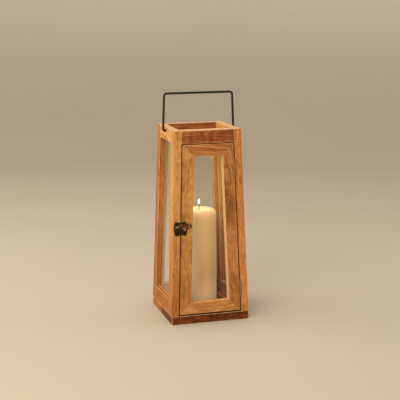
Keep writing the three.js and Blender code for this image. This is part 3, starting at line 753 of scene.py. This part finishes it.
def candle():
    pillar = candle_profile()
    turned("candle_pillar", pillar, CANDLE_SIDES, wax(), "candle", "wax", ["candle"], wander=WAX_WANDER)
    wick = [Vector(point) * MM for point in WICK_PATH]
    swept("candle_wick", wick, WICK_RADIUS, WICK_SIDES, charred_cotton(), "candle", "cotton", ["wick"])
    flame = [(radius, FLAME_LOW + height) for radius, height in FLAME_PROFILE]
    turned("candle_flame", flame, FLAME_SIDES, flame_light(), "candle", "wax")


def on_front(x, z, out):
    """The turn and move that set a piece drawn about Z on the leaning front face, in mm."""
    tilt = Matrix.Rotation(math.pi / 2 - math.atan(LEAN), 4, "X")
    half = HALF_BOTTOM - (z - BASE_THICK) * LEAN
    return Matrix.Translation(Vector((x, -half, z)) * MM) @ tilt @ Matrix.Translation((0, 0, out * MM))


def filler_dots():
    """Filled nail holes at the top of the left front post."""
    material = filler()
    for number, (x, z, radius) in enumerate(FILLER_DOTS, 1):
        profile = [(0, -FILLER_SUNK), (radius, -FILLER_SUNK), (radius, 0),
                   (FILLER_FLAT * radius, FILLER_PROUD), (0, FILLER_PROUD)]
        dot = turned(f"filler_dot_{number}", profile, FILLER_SIDES, material, "lantern", "wood_dark")
        dot.data.transform(on_front(x, z, 0))


def tab_boss(material):
    """The rubbed dome in the middle of the hook's finger tab."""
    angles = [step / BOSS_STEPS * math.pi / 2 for step in range(BOSS_STEPS)]
    dome = [(BOSS_RADIUS * math.cos(angle), BOSS_PROUD * math.sin(angle)) for angle in angles]
    profile = [(0, -BOSS_SUNK), (BOSS_RADIUS, -BOSS_SUNK), *dome, (0, BOSS_PROUD)]
    boss = turned("latch_tab_boss", profile, BOSS_SIDES, material, "hook", "antique_brass")
    boss.data.transform(on_front(*BOSS_PLACE))


def glazing():
    """The panes keep their CAD solids and take the glass material."""
    glass = window_glass()
    for node, piece in frame["nodes"].items():
        if node.endswith("_glass"):
            piece.data.materials.clear()
            piece.data.materials.append(glass)
            piece.data.polygons.foreach_set("material_index", [0] * len(piece.data.polygons))


# ---- Studio -------------------------------------------------------------------------------


def studio():
    """A round floor that curves up into a low wall, plain from every side."""
    flat = COVE_RADIUS - COVE_BEND
    profile = [(flat * share / FLOOR_RINGS, 0.0) for share in range(1, FLOOR_RINGS)]
    for step in range(COVE_STEPS + 1):
        angle = step / COVE_STEPS * math.pi / 2
        profile.append((flat + COVE_BEND * math.sin(angle), COVE_BEND * (1 - math.cos(angle))))
    profile.append((COVE_RADIUS, COVE_HEIGHT))
    shape = bmesh.new()
    centre = shape.verts.new((0, 0, 0))
    turns = [step / COVE_SIDES * math.tau for step in range(COVE_SIDES)]
    rings = [[shape.verts.new((radius * math.cos(turn), radius * math.sin(turn), height)) for turn in turns]
             for radius, height in profile]
    for step in range(COVE_SIDES):
        after = (step + 1) % COVE_SIDES
        shape.faces.new((centre, rings[0][step], rings[0][after]))
        for lower, upper in zip(rings, rings[1:]):
            shape.faces.new((lower[step], upper[step], upper[after], lower[after]))
    mesh = to_mesh(shape, "studio_cove")
    mesh.materials.append(backdrop_paint())
    link("studio_cove", mesh)


def soft_lights():
    for name, (place, aim, side, power, tint) in SOFT_LIGHTS.items():
        light = bpy.data.lights.new(name, "AREA")
        light.size = side
        light.energy = power
        light.color = tint
        lamp = link(name, light)
        lamp.location = place
        lamp.rotation_euler = (Vector(aim) - Vector(place)).to_track_quat("-Z", "Y").to_euler()


def candle_glow():
    """The flame's own light, which rides with the candle and is never seen itself."""
    glow = bpy.data.lights.new("candle_glow", "POINT")
    glow.energy = GLOW_POWER
    glow.color = GLOW_TINT
    glow.shadow_soft_size = GLOW_RADIUS * MM
    lamp = link("candle_glow", glow)
    lamp.location = GLOW_PLACE
    lamp.visible_camera = False
    lamp.visible_transmission = False
    lamp.visible_glossy = False
    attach(lamp, "candle")


def room_light():
    world = bpy.data.worlds.new("soft_room")
    bpy.context.scene.world = world
    world.use_nodes = True
    sky = world.node_tree.nodes["Background"]
    sky.inputs["Color"].default_value = ROOM_TINT
    sky.inputs["Strength"].default_value = ROOM_STRENGTH
    bpy.context.scene.view_settings.view_transform = "Standard"


def camera():
    """The photographed viewpoint, turned about the target and rolled a little."""
    flat = math.cos(CAMERA_ELEVATION)
    back = Vector((math.sin(CAMERA_AZIMUTH) * flat, -math.cos(CAMERA_AZIMUTH) * flat,
                   math.sin(CAMERA_ELEVATION)))
    level_right = (-back).cross(UP).normalized()
    level_up = level_right.cross(-back)
    right = math.cos(CAMERA_ROLL) * level_right + math.sin(CAMERA_ROLL) * level_up
    up = math.cos(CAMERA_ROLL) * level_up - math.sin(CAMERA_ROLL) * level_right
    lens = bpy.data.cameras.new("camera")
    lens.lens = CAMERA_LENS
    lens.sensor_width = SENSOR_WIDTH
    lens.clip_start = NEAREST_SEEN
    holder = link("camera", lens)
    spot = CAMERA_TARGET + back * CAMERA_DISTANCE
    holder.matrix_world = Matrix.Translation(spot) @ Matrix((right, up, back)).transposed().to_4x4()
    bpy.context.scene.camera = holder


camera()
boards()
metalwork()
black = powder_coat()
bail(black)
softened("candle_plate", black, METAL_ARRIS)
candle()
filler_dots()
glazing()
studio()
soft_lights()
candle_glow()
room_light()
